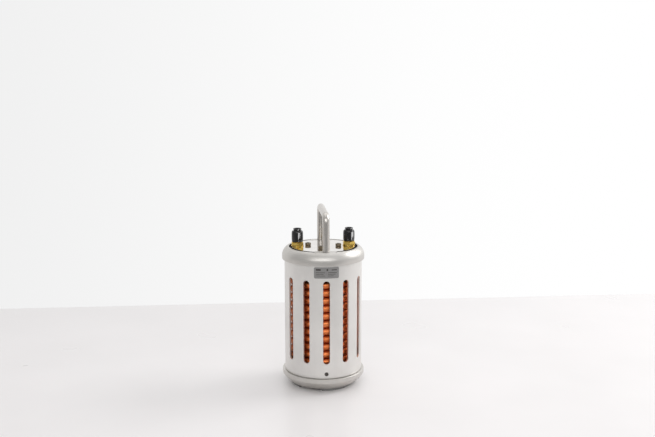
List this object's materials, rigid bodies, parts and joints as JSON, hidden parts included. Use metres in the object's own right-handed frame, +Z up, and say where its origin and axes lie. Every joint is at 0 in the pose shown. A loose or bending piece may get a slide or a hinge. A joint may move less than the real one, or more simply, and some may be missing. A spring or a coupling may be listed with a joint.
{
  "type": "magnetic system filter",
  "caption": "Slotted aluminium canister with a carrying handle, a copper tube coil round a magnet core and push-in tube ports on its cap.",
  "frame": {"origin": "on the ground under the middle of the base", "axes": "+Z up along the canister's axis, -Y is the side with the rating plate, the two ports stand at -X and +X"},
  "size_m": [0.1212, 0.1212, 0.2635],
  "materials": {
    "satin_aluminium": "satin anodised, fine vertical grain",
    "turned_aluminium": "fine turned, matt",
    "bar_aluminium": "drawn bar, satin",
    "polished_steel": "polished sheet",
    "bright_steel": "bright stainless",
    "black_steel": "blackened screws",
    "nickel": "nickel plate",
    "copper": "bright drawn copper tube",
    "brass": "machined brass",
    "black_polymer": "moulded, glossy",
    "grey_rubber": "moulded, matt",
    "plate_grey": "grey printed foil plate"
  },
  "bodies": {
    "root": {"back_nut_left": "brass", "back_nut_right": "brass", "base_cap": "turned_aluminium", "base_screw_1": "black_steel", "base_screw_2": "black_steel", "base_screw_3": "black_steel", "cap_screw_1": "black_steel", "cap_screw_2": "black_steel", "cap_screw_3": "black_steel", "coil_nut_left": "brass", "coil_nut_right": "brass", "copper_coil": "copper", "core_plug": "bright_steel", "core_sleeve": "bright_steel", "core_spacer": "satin_aluminium", "cover_disc": "polished_steel", "foot_pad_1": "grey_rubber", "foot_pad_2": "grey_rubber", "foot_pad_3": "grey_rubber", "foot_pad_4": "grey_rubber", "grab_ring_left": "bright_steel", "grab_ring_right": "bright_steel", "handle": "bar_aluminium", "handle_screw_front": "bright_steel", "handle_screw_rear": "bright_steel", "hub_flange": "turned_aluminium", "hub_screw_1": "bright_steel", "hub_screw_2": "bright_steel", "hub_screw_3": "bright_steel", "hub_screw_4": "bright_steel", "olive_left": "brass", "olive_right": "brass", "pole_plate_1": "bright_steel", "pole_plate_2": "bright_steel", "pole_plate_3": "bright_steel", "pole_plate_4": "bright_steel", "pole_plate_5": "bright_steel", "pole_plate_6": "bright_steel", "port_body_left": "black_polymer", "port_body_right": "black_polymer", "port_stud_left": "brass", "port_stud_right": "brass", "port_washer_left": "brass", "port_washer_right": "brass", "rating_plate": "plate_grey", "ring_magnet_1": "nickel", "ring_magnet_2": "nickel", "ring_magnet_3": "nickel", "ring_magnet_4": "nickel", "ring_magnet_5": "nickel", "shell_tube": "satin_aluminium", "tie_nut": "bright_steel", "tie_rod": "bright_steel", "tie_washer": "bright_steel", "top_cap": "turned_aluminium", "tube_seal_left": "grey_rubber", "tube_seal_right": "grey_rubber"},
    "collar_left": {"release_collar_left": "black_polymer"},
    "collar_right": {"release_collar_right": "black_polymer"}
  },
  "joints": [
    {"name": "collar_left_press", "type": "slide", "parent": "root", "child": "collar_left", "axis": [0, 0, -1], "range_m": [0, 0.0012], "stiffness_N_per_m": 400},
    {"name": "collar_right_press", "type": "slide", "parent": "root", "child": "collar_right", "axis": [0, 0, -1], "range_m": [0, 0.0012], "stiffness_N_per_m": 400}
  ]
}
